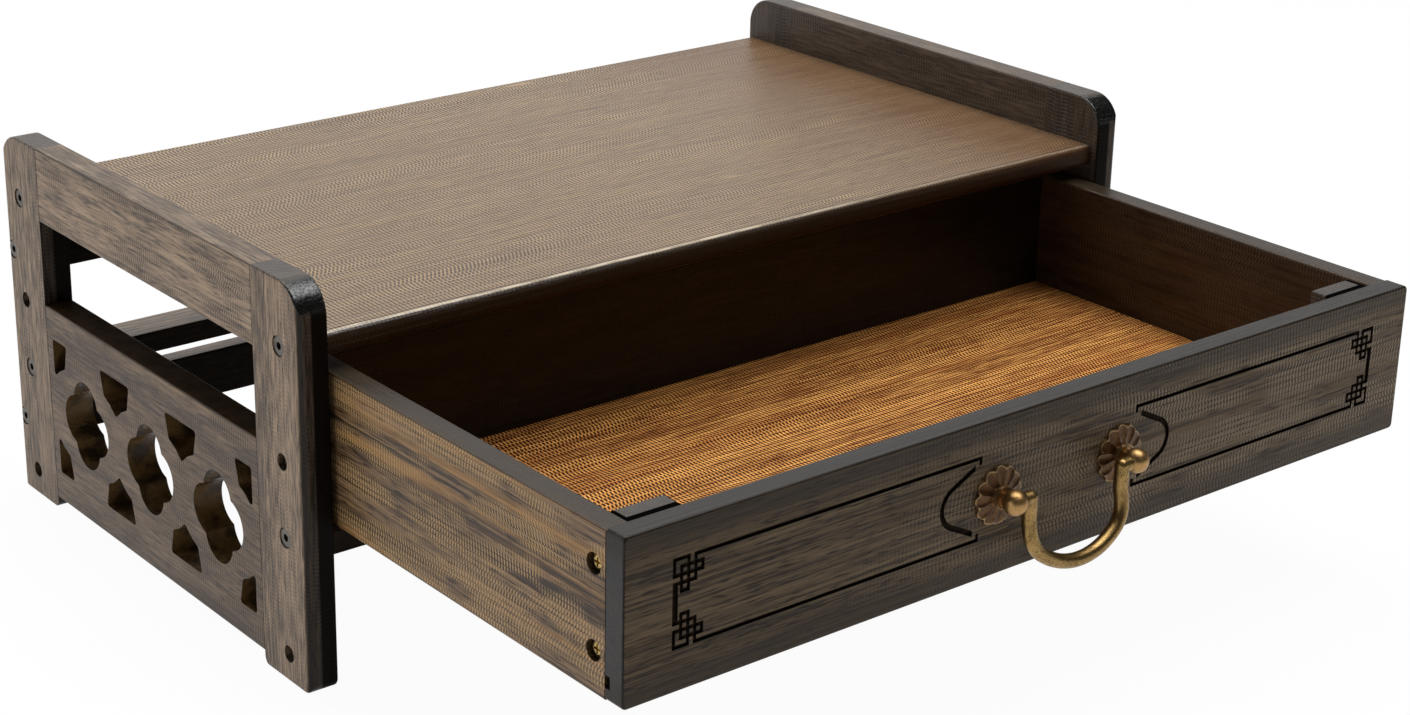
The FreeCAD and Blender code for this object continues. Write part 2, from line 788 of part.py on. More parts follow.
def drawer_floor():
    reach = floor_groove_depth - floor_end_gap
    half = drawer_inner_half_width + reach
    middle = (groove_bottom + groove_top) / 2
    z_range = (middle - floor_thickness / 2, middle + floor_thickness / 2)
    return block((-half, half), (front_back_face - reach, back_inner_face + reach), z_range)


def corner_block(side):
    """Block in the corner behind the front, which side screws and front dowels hold."""
    x_range = (side * drawer_inner_half_width, side * (drawer_inner_half_width - corner_block_width))
    y_range = (front_back_face, front_back_face + corner_block_depth)
    top = drawer_top - corner_block_drop
    solid = block(x_range, y_range, (groove_top, top))
    solid = solid.makeFillet(drawer_joint_ease, rim_edges(solid, 2, top))
    tools = [drawer_screw_hole(side, block_middle, z) for z in drawer_screw_heights()]
    tools += [front_dowel(x, z, fit) for x, z in front_dowel_places() if x * side > 0]
    return solid.cut(tools)


# ---- Handle ----

def stud_centre(side):
    """Middle of a rosette, on the drawer's face."""
    return Vector(side * handle_spacing / 2, drawer_face, pivot.z)


def rosette(side):
    """Scalloped flower of shallow hollowed petals about a raised cup."""
    petal_offset = rosette_radius - rosette_petal_radius
    outline = lobed_wire(rosette_petals, petal_offset, rosette_petal_radius, rosette_cusp_radius)
    blank = prism(outline, rosette_cup_height, FRONT_VIEW, stud_centre(side))
    cup_inner = rosette_boss_radius - rosette_cup_wall
    bore, outside = stud_shank_radius + fit, rosette_radius + overrun
    profile = [(0, bore), (0, outside), (rosette_rim_thickness, outside),
               (rosette_rim_thickness, rosette_radius), (rosette_boss_height, rosette_boss_radius),
               (rosette_cup_height, rosette_boss_radius), (rosette_cup_height, cup_inner),
               (rosette_boss_height, cup_inner), (rosette_boss_height, bore)]
    body = blank.common(turned_piece(profile, stud_centre(side), Vector(0, -1, 0)))
    return body.cut([petal_hollow(side, index) for index in range(rosette_petals)])


def petal_hollow(side, index):
    """Round-bottomed hollow along the middle of one petal, following its slope."""
    angle = 2 * math.pi * index / rosette_petals
    spoke = Vector(math.cos(angle), 0, math.sin(angle))
    inner = rosette_boss_radius + petal_hollow_depth
    fall = (rosette_boss_height - rosette_rim_thickness) / (rosette_radius - rosette_boss_radius)
    lift = petal_hollow_radius - petal_hollow_depth
    start_height = rosette_boss_height - fall * (inner - rosette_boss_radius) + lift
    end_height = rosette_rim_thickness + lift
    start = stud_centre(side) + spoke * inner - Vector(0, start_height, 0)
    end = stud_centre(side) + spoke * (rosette_radius + overrun) - Vector(0, end_height, 0)
    return rod(start, end, petal_hollow_radius)


def ball_stud(side):
    """Turned stud: shank through the rosette, collar in its cup, and a ball bored for the bail's pin."""
    collar_top = rosette_boss_height + stud_collar_thickness
    ball_start = handle_standoff - math.sqrt(stud_ball_radius**2 - stud_neck_radius**2)
    neck_end = ball_start + overrun
    profile = [(-stud_shank_sink, 0), (-stud_shank_sink, stud_shank_radius),
               (rosette_boss_height, stud_shank_radius), (rosette_boss_height, stud_collar_radius),
               (collar_top, stud_collar_radius), (collar_top, stud_neck_radius),
               (neck_end, stud_neck_radius), (neck_end, 0)]
    stem = turned_piece(profile, stud_centre(side), Vector(0, -1, 0))
    ball_centre = Vector(side * handle_spacing / 2, pivot.y, pivot.z)
    solid = stem.fuse(Part.makeSphere(stud_ball_radius, ball_centre)).removeSplitter()
    bore_start = ball_centre - Vector(side * stud_ball_radius, 0, 0)
    bore_end = bore_start + Vector(side * bail_pin_length, 0, 0)
    tapped_end = stud_centre(side) + Vector(0, drawer_front_thickness - handle_screw_length, 0)
    tapped_start = stud_centre(side) + Vector(0, stud_shank_sink, 0)
    solid = solid.cut(rod(bore_start, bore_end, bail_pin_radius + bail_pin_clearance))
    return solid.cut(rod(tapped_start, tapped_end - Vector(0, fit, 0), handle_screw_shank_radius + fit))


def handle_screw(side):
    """Screw from inside the drawer into the stud."""
    crown = stud_centre(side) + Vector(0, drawer_front_thickness + screw_head_height, 0)
    return cross_screw(crown, Vector(0, -1, 0), handle_screw_length + screw_head_height,
                       handle_screw_head_radius, handle_screw_shank_radius)


def bail_path():
    """Centre line of the bail from pivot to pivot, with its bow leaning out below two short straight legs."""
    lean = math.radians(bail_lean)
    down = Vector(0, -math.sin(lean), -math.cos(lean))
    half = bail_half_spread
    inset = half - bail_corner_radius
    bow_radius = (inset**2 + bail_bow_height**2 - bail_corner_radius**2) / (
        2 * (bail_bow_height - bail_corner_radius))
    tilt = math.asin(inset / (bow_radius - bail_corner_radius))
    corner_tangent = bail_corner_radius * math.tan((math.pi / 2 - tilt) / 2)
    corner_depth = bail_leg_below_bend + corner_tangent
    bow_depth = corner_depth + half * math.tan(tilt)
    bend = Vector(0, 0, -bail_bend_drop)
    corner = bend + down * corner_depth
    middle = bend + down * bow_depth
    across = Vector(half, 0, 0)
    corners = [-across, bend - across, corner - across, middle, corner + across, bend + across, across]
    radii = [0, bail_bend_radius, bail_corner_radius, bow_radius, bail_corner_radius, bail_bend_radius, 0]
    return rounded_wire([pivot + point for point in corners], radii, closed=False)


def bail():
    """Bent rod whose ends turn out to the ball studs, hollowed to clear the balls, with a thin pin each."""
    path = bail_path()
    section = Part.Wire(Part.makeCircle(bail_rod_radius, pivot - Vector(bail_half_spread, 0, 0)))
    solid = path.makePipeShell([section], True, False)
    for side in SIDES.values():
        shoulder = pivot + Vector(side * bail_half_spread, 0, 0)
        ball_centre = pivot + Vector(side * handle_spacing / 2, 0, 0)
        elbow = Part.makeSphere(bail_rod_radius, shoulder)
        solid = solid.fuse([elbow, rod(shoulder, ball_centre, bail_rod_radius)])
        solid = solid.cut(Part.makeSphere(stud_ball_radius + bail_side_gap, ball_centre))
        pin_tip = ball_centre - Vector(side * (stud_ball_radius - bail_pin_length + bail_side_gap), 0, 0)
        solid = solid.fuse(rod(shoulder, pin_tip, bail_pin_radius))
    return solid.removeSplitter()


def bail_front_reach():
    """How far the bail's bow stands out in front of the drawer's face."""
    below_bend = bail_leg_below_bend + bail_bow_height
    return handle_standoff + below_bend * math.sin(math.radians(bail_lean)) + bail_rod_radius


# ---- The whole stand ----

def carcass_nodes():
    nodes = {}
    for name, side in SIDES.items():
        for end_name, end in ENDS.items():
            nodes[f"{name}_{end_name}_post"] = post(side, end)
        nodes[f"{name}_top_rail"] = top_rail(side)
        nodes[f"{name}_fret_panel"] = fret_panel(side)
        nodes[f"{name}_runner"] = runner(side)
    nodes["shelf_board"] = shelf_board()
    nodes["upper_back_rail"] = back_rail(upper_back_rail_lift)
    nodes["lower_back_rail"] = back_rail(lower_back_rail_lift)
    nodes["front_bearer"] = bearer(ENDS["front"])
    nodes["rear_bearer"] = bearer(ENDS["rear"])
    sides, ends = SIDES.values(), ENDS.values()
    nodes["frame_bolts"] = group(socket_bolt(side, y, z) for side in sides for y, z in bolt_places())
    nodes["threaded_inserts"] = group(threaded_insert(side, y, z) for side in sides for y, z in bolt_places())
    nodes["tenon_screws"] = group(tenon_screw(side, y, z) for side in sides for y, z in tenon_screw_places())
    nodes["rail_dowels"] = group(
        rail_dowel(side, end, z) for side in sides for end in ends for z in rail_dowel_heights())
    nodes["runner_dowels"] = group(runner_dowel(x, y) for x, y in runner_dowel_places())
    return nodes


def drawer_nodes():
    nodes = {"drawer_front": drawer_front(), "drawer_back": drawer_back(), "drawer_floor": drawer_floor()}
    for name, side in SIDES.items():
        nodes[f"drawer_{name}_side"] = drawer_side(side)
        nodes[f"{name}_corner_block"] = corner_block(side)
        nodes[f"{name}_rosette"] = rosette(side)
        nodes[f"{name}_ball_stud"] = ball_stud(side)
    for name, line in drawer_screw_lines().items():
        nodes[f"{name}_screws"] = group(
            drawer_screw(side, line, z) for side in SIDES.values() for z in drawer_screw_heights())
    nodes["front_dowels"] = group(front_dowel(x, z) for x, z in front_dowel_places())
    nodes["handle_screws"] = group(handle_screw(side) for side in SIDES.values())
    nodes["handle_bail"] = bail()
    return nodes


def group(solids):
    return Part.makeCompound(list(solids))


def export_all():
    os.makedirs("parts", exist_ok=True)
    front = half_depth + drawer_opening + bail_front_reach()
    origin_shift = Vector(0, (front - half_depth) / 2, 0)
    drawn_out = origin_shift - Vector(0, drawer_opening, 0)
    for nodes, shift in ((carcass_nodes(), origin_shift), (drawer_nodes(), drawn_out)):
        for name, shape in nodes.items():
            shape.translate(shift)
            shape.exportStep(f"parts/{name}.step")


export_all()
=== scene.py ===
import math

import bpy
from mathutils import Matrix, Vector


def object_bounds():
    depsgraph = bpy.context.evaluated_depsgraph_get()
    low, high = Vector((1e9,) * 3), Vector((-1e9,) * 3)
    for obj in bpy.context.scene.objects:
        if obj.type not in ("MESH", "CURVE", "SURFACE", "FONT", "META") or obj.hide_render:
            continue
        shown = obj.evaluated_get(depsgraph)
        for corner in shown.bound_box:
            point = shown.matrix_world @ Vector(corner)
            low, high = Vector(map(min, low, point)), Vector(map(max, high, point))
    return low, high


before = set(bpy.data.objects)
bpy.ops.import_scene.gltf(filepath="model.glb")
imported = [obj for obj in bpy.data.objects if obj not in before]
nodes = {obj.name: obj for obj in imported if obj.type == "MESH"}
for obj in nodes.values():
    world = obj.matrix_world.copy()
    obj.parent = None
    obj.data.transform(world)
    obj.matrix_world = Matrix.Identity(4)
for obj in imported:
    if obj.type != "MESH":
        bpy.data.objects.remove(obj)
cad_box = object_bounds()


# ---- Posts ----
# Four upright bamboo posts of two glued plies, bolted to the shelf and to the boards across.
# The stain ran into their narrow faces, where the inner ply is nearly black, and the rounded top
# corner is black and polished.
class Wire:
    """Output of a shader node, so that a sum on values reads as an ordinary sum."""

    def __init__(self, paint, socket):
        self.paint = paint
        self.socket = socket

    def maths(self, operation, first, second=0.0):
        return self.paint.node("ShaderNodeMath", {"operation": operation}, {0: first, 1: second})

    def __add__(self, other):
        return self.maths("ADD", self, other)

    def __sub__(self, other):
        return self.maths("SUBTRACT", self, other)

    def __rsub__(self, other):
        return self.maths("SUBTRACT", other, self)

    def __mul__(self, other):
        return self.maths("MULTIPLY", self, other)

    def __truediv__(self, other):
        return self.maths("DIVIDE", self, other)

    def __pow__(self, other):
        return self.maths("POWER", self, other)

    def __gt__(self, other):
        return self.maths("GREATER_THAN", self, other)

    def __lt__(self, other):
        return self.maths("LESS_THAN", self, other)

    def __abs__(self):
        return self.maths("ABSOLUTE", self)

    def __neg__(self):
        return self.maths("SUBTRACT", 0.0, self)

    __radd__ = __add__
    __rmul__ = __mul__

    def floor(self):
        return self.maths("FLOOR", self)

    def sine(self):
        return self.maths("SINE", self)

    def cosine(self):
        return self.maths("COSINE", self)

    def larger(self, other):
        return self.maths("MAXIMUM", self, other)

    def smaller(self, other):
        return self.maths("MINIMUM", self, other)

    def smooth(self, low, high):
        """0 up to low, 1 from high on, and an even rise between them."""
        ranges = {"From Min": low, "From Max": high, "To Min": 0.0, "To Max": 1.0}
        kind = {"interpolation_type": "SMOOTHSTEP"}
        return self.paint.node("ShaderNodeMapRange", kind, {"Value": self, **ranges})


class Paint:
    """Shader nodes of one material, or of the world, and a method that makes any other node."""

    def __init__(self, owner):
        owner.use_nodes = True
        self.owner = owner
        self.tree = owner.node_tree
        self.shader = self.tree.nodes.get("Principled BSDF")

    def node(self, kind, settings=None, inputs=None, out=0):
        made = self.tree.nodes.new(kind)
        for key, value in (settings or {}).items():
            if key == "stops":
                ramp = made.color_ramp.elements
                while len(ramp) < len(value):
                    ramp.new(0.5)
                for stop, (place, colour) in zip(ramp, value):
                    stop.position = place
                    stop.color = (*colour, 1.0)
            else:
                setattr(made, key, value)
        for key, value in (inputs or {}).items():
            self.feed(made.inputs[key], value)
        return Wire(self, made.outputs[out])

    def feed(self, socket, value):
        if isinstance(value, Wire):
            self.tree.links.new(value.socket, socket)
        elif isinstance(value, tuple) and socket.type == "RGBA":
            socket.default_value = (*value, 1.0)
        else:
            socket.default_value = value

    def set(self, **inputs):
        """Feeds sockets of the Principled shader, named in lower case with underscores."""
        for key, value in inputs.items():
            self.feed(self.shader.inputs[key.replace("_", " ").title().replace("Ior", "IOR")], value)

    def blend(self, share, first, second):
        """Colour mix of first and second by a share from 0 to 1."""
        kind = {"data_type": "RGBA"}
        return self.node("ShaderNodeMix", kind, {0: share, 6: first, 7: second}, out=2)

    def place(self):
        return self.node("ShaderNodeTexCoord", out="Object")

    def axes(self, vector):
        split = self.tree.nodes.new("ShaderNodeSeparateXYZ")
        self.feed(split.inputs[0], vector)
        return [Wire(self, socket) for socket in split.outputs]

    def stretched(self, vector, scale):
        return self.node("ShaderNodeMapping", {}, {"Vector": vector, "Scale": scale})

    def noise(self, vector, scale, detail=2.0, rough=0.5):
        sizes = {"Scale": scale, "Detail": detail, "Roughness": rough}
        return self.node("ShaderNodeTexNoise", {}, {"Vector": vector, **sizes})

    def bump(self, height, distance):
        sizes = {"Height": height, "Distance": distance, "Strength": 1.0}
        self.feed(self.shader.inputs["Normal"], self.node("ShaderNodeBump", {}, sizes))

    def surface(self):
        return self.tree.nodes["Material Output"].inputs["Surface"]

    def cover(self, share, other):
        """Lays another shader over the surface where share is above 0."""
        under = Wire(self, self.surface().links[0].from_socket)
        self.feed(self.surface(), self.node("ShaderNodeMixShader", {}, {0: share, 1: under, 2: other}))


def dress(paint, *names):
    """Gives the carried-over pieces of these names one material."""
    for name in names:
        mesh = nodes[name].data
        if not mesh.materials:
            mesh.materials.append(paint.owner)
        for index in range(len(mesh.materials)):
            mesh.materials[index] = paint.owner


class Board:
    """Stained and lacquered bamboo, glued up from strips, with its fibres along one axis.

    Rows of short saw ticks lie across the fibres in patches, and the cane's knuckles show as smudges.
    Lengths are in metres; streak and fine are the fibres' counts per metre along and across.
    """

    axes = {"x": 0, "y": 1, "z": 2}

    def __init__(self, name, grain, dark, light, *, streak=38.0, fine=600.0, contrast=1.0, bands=1.0,
                 row=0.0022, pitch=0.0018, spread=0.5, ticks=0.6, tick_colour=None, ticks_from=None,
                 warm=(0.25, 0.150, 0.080), warm_share=0.35, edge=None, edge_share=0.75, end=None,
                 rough=0.40, specular=0.5, relief=0.00022):
        paint = self.paint = Paint(bpy.data.materials.new(name))
        place = self.place = paint.place()
        self.along = self.axes[grain]
        self.spots = paint.axes(place)
        self.normal = paint.axes(paint.node("ShaderNodeNewGeometry", out="Normal"))
        self.facing = [abs(part) for part in self.normal]
        along = self.spots[self.along]
        across = sum(self.spots) - along

        strips = paint.noise(self.run(1.4, 48.0), 1.0, 3.0, 0.6)
        fibres = paint.noise(self.run(streak, fine), 1.0, 3.0, 0.7)
        pores = paint.noise(self.run(110.0, 1300.0), 1.0, 1.0)

        lane = across / row + paint.noise(self.run(5.0, 9.0), 1.0) * 1.5
        lane_number = lane.floor()
        height = lane - lane_number
        random = {"noise_dimensions": "1D"}
        start = paint.node("ShaderNodeTexWhiteNoise", random, {"W": lane_number}, out="Value")
        lean = (paint.noise(self.run(9.0, 60.0), 1.0) - 0.5) * 3.2
        turn = along / pitch + start * 0.35 + height * lean
        tooth = (turn * (2 * math.pi)).sine().smooth(-0.25, 0.3)
        teeth = tooth * (height * math.pi).sine().smooth(0.05, 0.4)
        marks = teeth * paint.noise(self.run(30.0, 120.0), 1.0, 2.0).smooth(spread - 0.1, spread + 0.1)
        if ticks_from:
            marks = marks * self.spots[0].smooth(*ticks_from)

        cell = {"feature": "F1", "voronoi_dimensions": "3D"}
        cells = {"Vector": self.run(4.5, 42.0), "Scale": 1.0}
        knuckles = 1 - paint.node("ShaderNodeTexVoronoi", cell, cells, out="Distance").smooth(0.08, 0.24)

        tone = (strips - 0.5) * (1.3 * bands) + (fibres - 0.5) * (3.4 * contrast) + 0.5
        tone = tone - (0.46 - pores).larger(0.0) * (4.0 * contrast)
        colour = paint.node("ShaderNodeValToRGB", {"stops": [(0.0, dark), (1.0, light)]}, {"Fac": tone})
        golden = paint.noise(self.run(3.5, 90.0), 1.0, 3.0, 0.7).smooth(0.5, 0.66)
        colour = paint.blend(golden * warm_share, colour, warm)
        colour = paint.blend(knuckles * 0.65 * (pores > 0.42), colour, dark)
        colour = paint.blend(marks * ticks, colour, tick_colour or dark)

        flatness = self.facing[0].larger(self.facing[1]).larger(self.facing[2])
        rounded = 1 - flatness.smooth(0.80, 0.985)
        end_grain = self.facing[self.along].smooth(0.75, 0.95)
        colour = paint.blend(rounded * edge_share, colour, edge or self.shade(dark, 0.35))
        self.colour = paint.blend(end_grain * 0.85, colour, end or self.shade(dark, 0.8))
        self.rough = (fibres - 0.5) * 0.22 + rough - rounded * 0.12
        paint.set(base_color=self.colour, roughness=self.rough, specular_ior_level=specular)
        paint.bump(fibres * 0.8 - marks * 0.7, relief)

    @staticmethod
    def shade(colour, share):
        return tuple(part * share for part in colour)

    def run(self, lengthways, sideways):
        """Place in the board, scaled apart along and across its fibres."""
        scale = [sideways] * 3
        scale[self.along] = lengthways
        return self.paint.stretched(self.place, tuple(scale))

    def within(self, axis, reach, blur):
        """1 where the board lies nearer to the middle plane of an axis than reach, else 0."""
        return (reach - abs(self.spots[axis])).smooth(0.0, blur)

    def stain_and_painted_light(self, share, colour):
        """Lays another colour over the board where share is above 0: stains, and painted shade and
        highlights alike.
        """
        self.colour = self.paint.blend(share, self.colour, colour)
        self.paint.set(base_color=self.colour)

    def deaden(self, share, colour):
        """Turns the board to a dull colour without any shine where share is above 0."""
        self.paint.cover(share, self.paint.node("ShaderNodeBsdfDiffuse", {}, {"Color": colour}))


stain_dark, stain_light = (0.056, 0.035, 0.021), (0.320, 0.225, 0.145)
carcass_depth = 0.250
carcass_middle = cad_box[1].y - carcass_depth / 2
post_offset = 0.108
top_corner_start = 0.15
frame_inner_face = 0.2078
ply_joint = 0.2142

posts = Board("posts", "z", stain_dark, stain_light, streak=60.0, warm_share=0.3, ticks=0.3,
              end=(0.045, 0.040, 0.036), specular=0.26)
from_centre = abs(abs(posts.spots[1] - carcass_middle) - post_offset)
narrow = posts.facing[1].smooth(0.25, 0.6) * from_centre.smooth(0.0125, 0.0135)
bend = posts.facing[1].smooth(0.12, 0.4) * posts.facing[2].smooth(0.12, 0.3)
bend = bend * (posts.spots[2] > top_corner_start)
outer_ply = (abs(posts.spots[0]) - ply_joint).smooth(-0.0005, 0.0005)
posts.stain_and_painted_light(narrow * (1 - outer_ply * 0.3), (0.003, 0.002, 0.0015))
# Painted shade: the posts' faces inside the stand are painted darker, in place of the shade and dark
# reflections they get there.
posts.stain_and_painted_light(posts.within(0, frame_inner_face, 0.0004) * 0.8, (0.020, 0.012, 0.008))
posts.stain_and_painted_light(bend, (0.004, 0.004, 0.0035))
grit = posts.paint.noise(posts.place, 1500.0, 1.0).smooth(0.42, 0.58)
posts.paint.set(roughness=posts.rough - bend * 0.14, coat_weight=bend * (grit * 0.7 + 0.15),
                coat_roughness=0.3)
posts.deaden(narrow * (1 - bend) * (0.85 - outer_ply * 0.5), (0.006, 0.004, 0.003))
dress(posts.paint, "left_front_post", "left_rear_post", "right_front_post", "right_rear_post")


# ---- Rails and runners ----
# Bamboo boards dowelled between the posts and between the bearers, with their fibres lengthways.
# Inside the stand their faces carry painted shade, and the right rail is darker on top.
rails = Board("rails", "y", stain_dark, stain_light, warm_share=0.2, ticks=0.95, contrast=0.95,
              specular=0.26)
top = rails.normal[2].smooth(0.6, 0.9)
rails.stain_and_painted_light(top * ((rails.spots[0] > 0) * 0.45 + 0.22), (0.045, 0.034, 0.025))
# Painted shade: the faces inside the stand are painted darker.
rails.stain_and_painted_light(rails.within(0, frame_inner_face, 0.0004) * 0.75, (0.030, 0.018, 0.011))
dress(rails.paint, "left_top_rail", "right_top_rail", "left_runner", "right_runner")


# ---- Fretwork panels ----
# Bamboo boards pierced with a saw and tenoned into the posts.  The walls of the openings are bare
# golden cane under a dark smear, and the top edge is dark.
panel_top = 0.0955
fretwork = Board("fretwork", "y", (0.044, 0.027, 0.017), (0.190, 0.130, 0.083), warm_share=0.2,
                 ticks=0.85, contrast=0.95, specular=0.22)
wall = 1 - fretwork.facing[0].smooth(0.3, 0.7)
smear = fretwork.paint.noise(fretwork.place, 130.0, 2.0).smooth(0.35, 0.65)
fretwork.stain_and_painted_light(wall, fretwork.paint.blend(smear, (0.030, 0.016, 0.006), (0.125, 0.072, 0.024)))
fretwork.deaden(wall * (fretwork.spots[2] > panel_top) * 0.8, (0.024, 0.014, 0.008))
dress(fretwork.paint, "left_fret_panel", "right_fret_panel")


# ---- Back rails and bearers ----
# Four bamboo boards across the stand, bolted through the posts into threaded inserts.
# The side toward the drawer is painted nearly black and dull, as painted shade.
cross = Board("cross", "x", stain_dark, stain_light, warm_share=0.2, ticks=0.3, contrast=0.8)
# Painted shade: only the side facing the drawer is turned nearly black, with no shine.
cross.deaden((-cross.normal[1]).smooth(0.3, 0.7) * 0.93, (0.004, 0.003, 0.002))
dress(cross.paint, "upper_back_rail", "lower_back_rail", "front_bearer", "rear_bearer")


# ---- Shelf ----
# One wide board of glued bamboo strips, bolted between the side frames, with painted shade that makes it
# darker and redder to the right, where its sheen fades.
# Its nose is rounded: a dark line, a lacquered line with a painted highlight that is broken up and fades
# to the right, and dull brown below.
shelf = Board("shelf", "x", (0.175, 0.104, 0.052), (0.50, 0.345, 0.188), streak=24.0, contrast=0.6,
              bands=0.3, row=0.0027, pitch=0.0019, spread=0.24, ticks=1.0,
              tick_colour=(0.055, 0.031, 0.015), warm=(0.34, 0.20, 0.09), warm_share=0.12,
              edge_share=0.6, rough=0.36, specular=0.38, relief=0.0007)
forward = -shelf.normal[1]
shelf.stain_and_painted_light(forward.smooth(0.30, 0.8) * 0.92, (0.016, 0.008, 0.004))
# Painted shade: darker and redder towards the right, standing in for the sheen that fades there.
shelf.stain_and_painted_light((shelf.spots[0] - 0.05).smooth(0.0, 0.15) * 0.58, (0.120, 0.052, 0.018))
shelf.stain_and_painted_light(forward.smooth(0.02, 0.07) * (1 - forward.smooth(0.12, 0.18)) * 0.75, (0.040, 0.026, 0.016))
# Painted highlight: a pale line along the nose, broken up by noise and fading to the right; the same band
# gets the lacquer coat.
highlight_breakup = shelf.paint.noise(shelf.run(90.0, 500.0), 1.0, 2.0).smooth(0.35, 0.6)
highlight_fade = 1 - (shelf.spots[0] + 0.06).smooth(0.0, 0.20) * 0.75
coat_and_painted_highlight = forward.smooth(0.16, 0.28) * (1 - forward.smooth(0.46, 0.6))
shelf.stain_and_painted_light(coat_and_painted_highlight * (highlight_breakup * 0.5 + 0.45) * highlight_fade, (0.80, 0.67, 0.50))
shelf.paint.set(coat_weight=coat_and_painted_highlight, coat_roughness=0.12)
shelf.deaden(forward.smooth(0.66, 0.85) * 0.75, (0.030, 0.017, 0.009))
dress(shelf.paint, "shelf_board")


# ---- Drawer box ----
# Bamboo sides and back, screwed together at the back and to blocks in the front corners.  The sides
# are streaked gold and brown and grey on top; inside they are painted dark red-brown as painted shade.
drawer_side_inner_face = 0.1999
sides = Board("drawer_sides", "y", (0.028, 0.015, 0.008), (0.225, 0.140, 0.073), streak=9.0, fine=750.0,
              contrast=1.1, row=0.0024, pitch=0.0017, spread=0.48, ticks=0.7,
              tick_colour=(0.46, 0.290, 0.125), warm=(0.36, 0.18, 0.05), warm_share=0.6, specular=0.25)
sides.stain_and_painted_light(sides.facing[2].smooth(0.8, 0.97) * 0.92, (0.018, 0.012, 0.007))
# Painted shade: the sides' inner faces are painted dark red-brown.
painted_shade_inside = sides.within(0, drawer_side_inner_face, 0.0003) * sides.facing[0].smooth(0.5, 0.8)
sides.stain_and_painted_light(painted_shade_inside * 0.87, (0.020, 0.008, 0.003))
dress(sides.paint, "drawer_left_side", "drawer_right_side")

drawer_back = Board("drawer_back", "x", stain_dark, stain_light, ticks=0.4, specular=0.25)
# Painted shade: the back's inner face, toward the drawer front, is painted nearly black.
drawer_back.stain_and_painted_light((-drawer_back.normal[1]).smooth(0.3, 0.7) * 0.95, (0.004, 0.002, 0.001))
dress(drawer_back.paint, "drawer_back")


# ---- Drawer floor ----
# A thin board of golden, unstained bamboo that slides into grooves of the drawer's sides and front.
# It was sawn with a coarse blade, so its rows of ticks are strong all over.
drawer_floor = Board("drawer_floor", "x", (0.26, 0.085, 0.020), (0.98, 0.47, 0.125), contrast=0.7,
                     row=0.0032, pitch=0.0018, spread=0.18, ticks=1.0, tick_colour=(0.024, 0.005, 0.0015),
                     warm=(0.42, 0.13, 0.028), warm_share=0.55, rough=0.50, specular=0.12)
dress(drawer_floor.paint, "drawer_floor")


# ---- Corner blocks ----
# Black bamboo blocks with their end grain upward, screwed through the sides and dowelled to the
# front.  Where they meet side and front, a black line of painted shadow lies on the block.
blocks = Board("corner_blocks", "z", (0.018, 0.017, 0.016), (0.05, 0.047, 0.043),
               end=(0.046, 0.038, 0.031), rough=0.42, specular=0.3)
block_side, block_front = 0.1916, 0.1900
# Painted shadow: black lines on the block's top along the side and the front.
side_shadow_line = (abs(blocks.spots[0]) - block_side).smooth(0.0, 0.0004)
front_shadow_line = (-blocks.spots[1] - block_front).smooth(0.0, 0.0004)
blocks.deaden(side_shadow_line.larger(front_shadow_line), (0.002, 0.002, 0.002))
dress(blocks.paint, "left_corner_block", "right_corner_block")


# ---- Drawer front ----
# A bamboo board stained darker than the rest: slate grey on its edges and ends and along its
# borders, olive brown in the middle, with pale saw ticks to the right.  The carved lines are darkened
# with painted shade.
border_start, border_end = 0.019, 0.027
carving_half_height, carving_half_width, carving_deepest = 0.028, 0.199, 0.005
front = Board("drawer_front", "x", (0.018, 0.011, 0.006), (0.140, 0.096, 0.052), streak=12.0, fine=750.0,
              row=0.0025, pitch=0.0019, spread=0.46, ticks=0.75, tick_colour=(0.270, 0.205, 0.140),
              ticks_from=(-0.13, 0.06), warm=(0.10, 0.055, 0.024), warm_share=0.3,
              edge=(0.004, 0.004, 0.004), edge_share=0.95, end=(0.034, 0.034, 0.037), specular=0.14)
corners = [vertex.co for vertex in nodes["drawer_front"].data.vertices]
face = min(corner.y for corner in corners)
middle = (min(corner.z for corner in corners) + max(corner.z for corner in corners)) / 2
from_middle = abs(front.spots[2] - middle)
front.stain_and_painted_light(from_middle.smooth(border_start, border_end) * 0.65, (0.022, 0.017, 0.012))
front.stain_and_painted_light(front.facing[2].smooth(0.8, 0.97), (0.034, 0.030, 0.027))
depth = front.spots[1] - face
within_height = (carving_half_height - from_middle).smooth(0.0, 0.0005)
within_depth = depth.smooth(0.00012, 0.00040) * (carving_deepest - depth).smooth(0.0, 0.0005)
# Painted shade: the carved grooves' walls and floors are painted dark and dull.
painted_groove_shade = within_depth * within_height * front.within(0, carving_half_width, 0.0005)
front.deaden(painted_groove_shade * 0.9, (0.010, 0.006, 0.004))
dress(front.paint, "drawer_front")


# ---- Dowels ----
# Short pegs of plain pale wood, glued into their bores, where nothing shows of them.
dowels = Board("dowels", "y", (0.35, 0.22, 0.11), (0.62, 0.45, 0.26))
dress(dowels.paint, "rail_dowels", "runner_dowels", "front_dowels")


# ---- Handle ----
# A bent brass bail that hangs by its pins from two turned ball studs, rubbed bright, each screwed
# on over a scalloped rosette.  The rosettes are brown, with bright rims on petals and cup.
def antique_metal(name, bright, dark, rough):
    """Metal with brown stain left in its specks and clouds."""
    paint = Paint(bpy.data.materials.new(name))
    place = paint.place()
    cloud = paint.noise(place, 260.0, 3.0, 0.6)
    speck = paint.noise(place, 2400.0, 2.0)
    rubbed = (cloud - 0.5) * 0.8 + (speck - 0.5) * 2.2 + 0.62
    ramp = {"stops": [(0.1, dark), (0.75, bright)]}
    paint.colour = paint.node("ShaderNodeValToRGB", ramp, {"Fac": rubbed})
    paint.set(base_color=paint.colour, metallic=1.0, roughness=(0.5 - cloud) * 0.3 + rough)
    paint.bump(speck, 0.00008)
    return paint


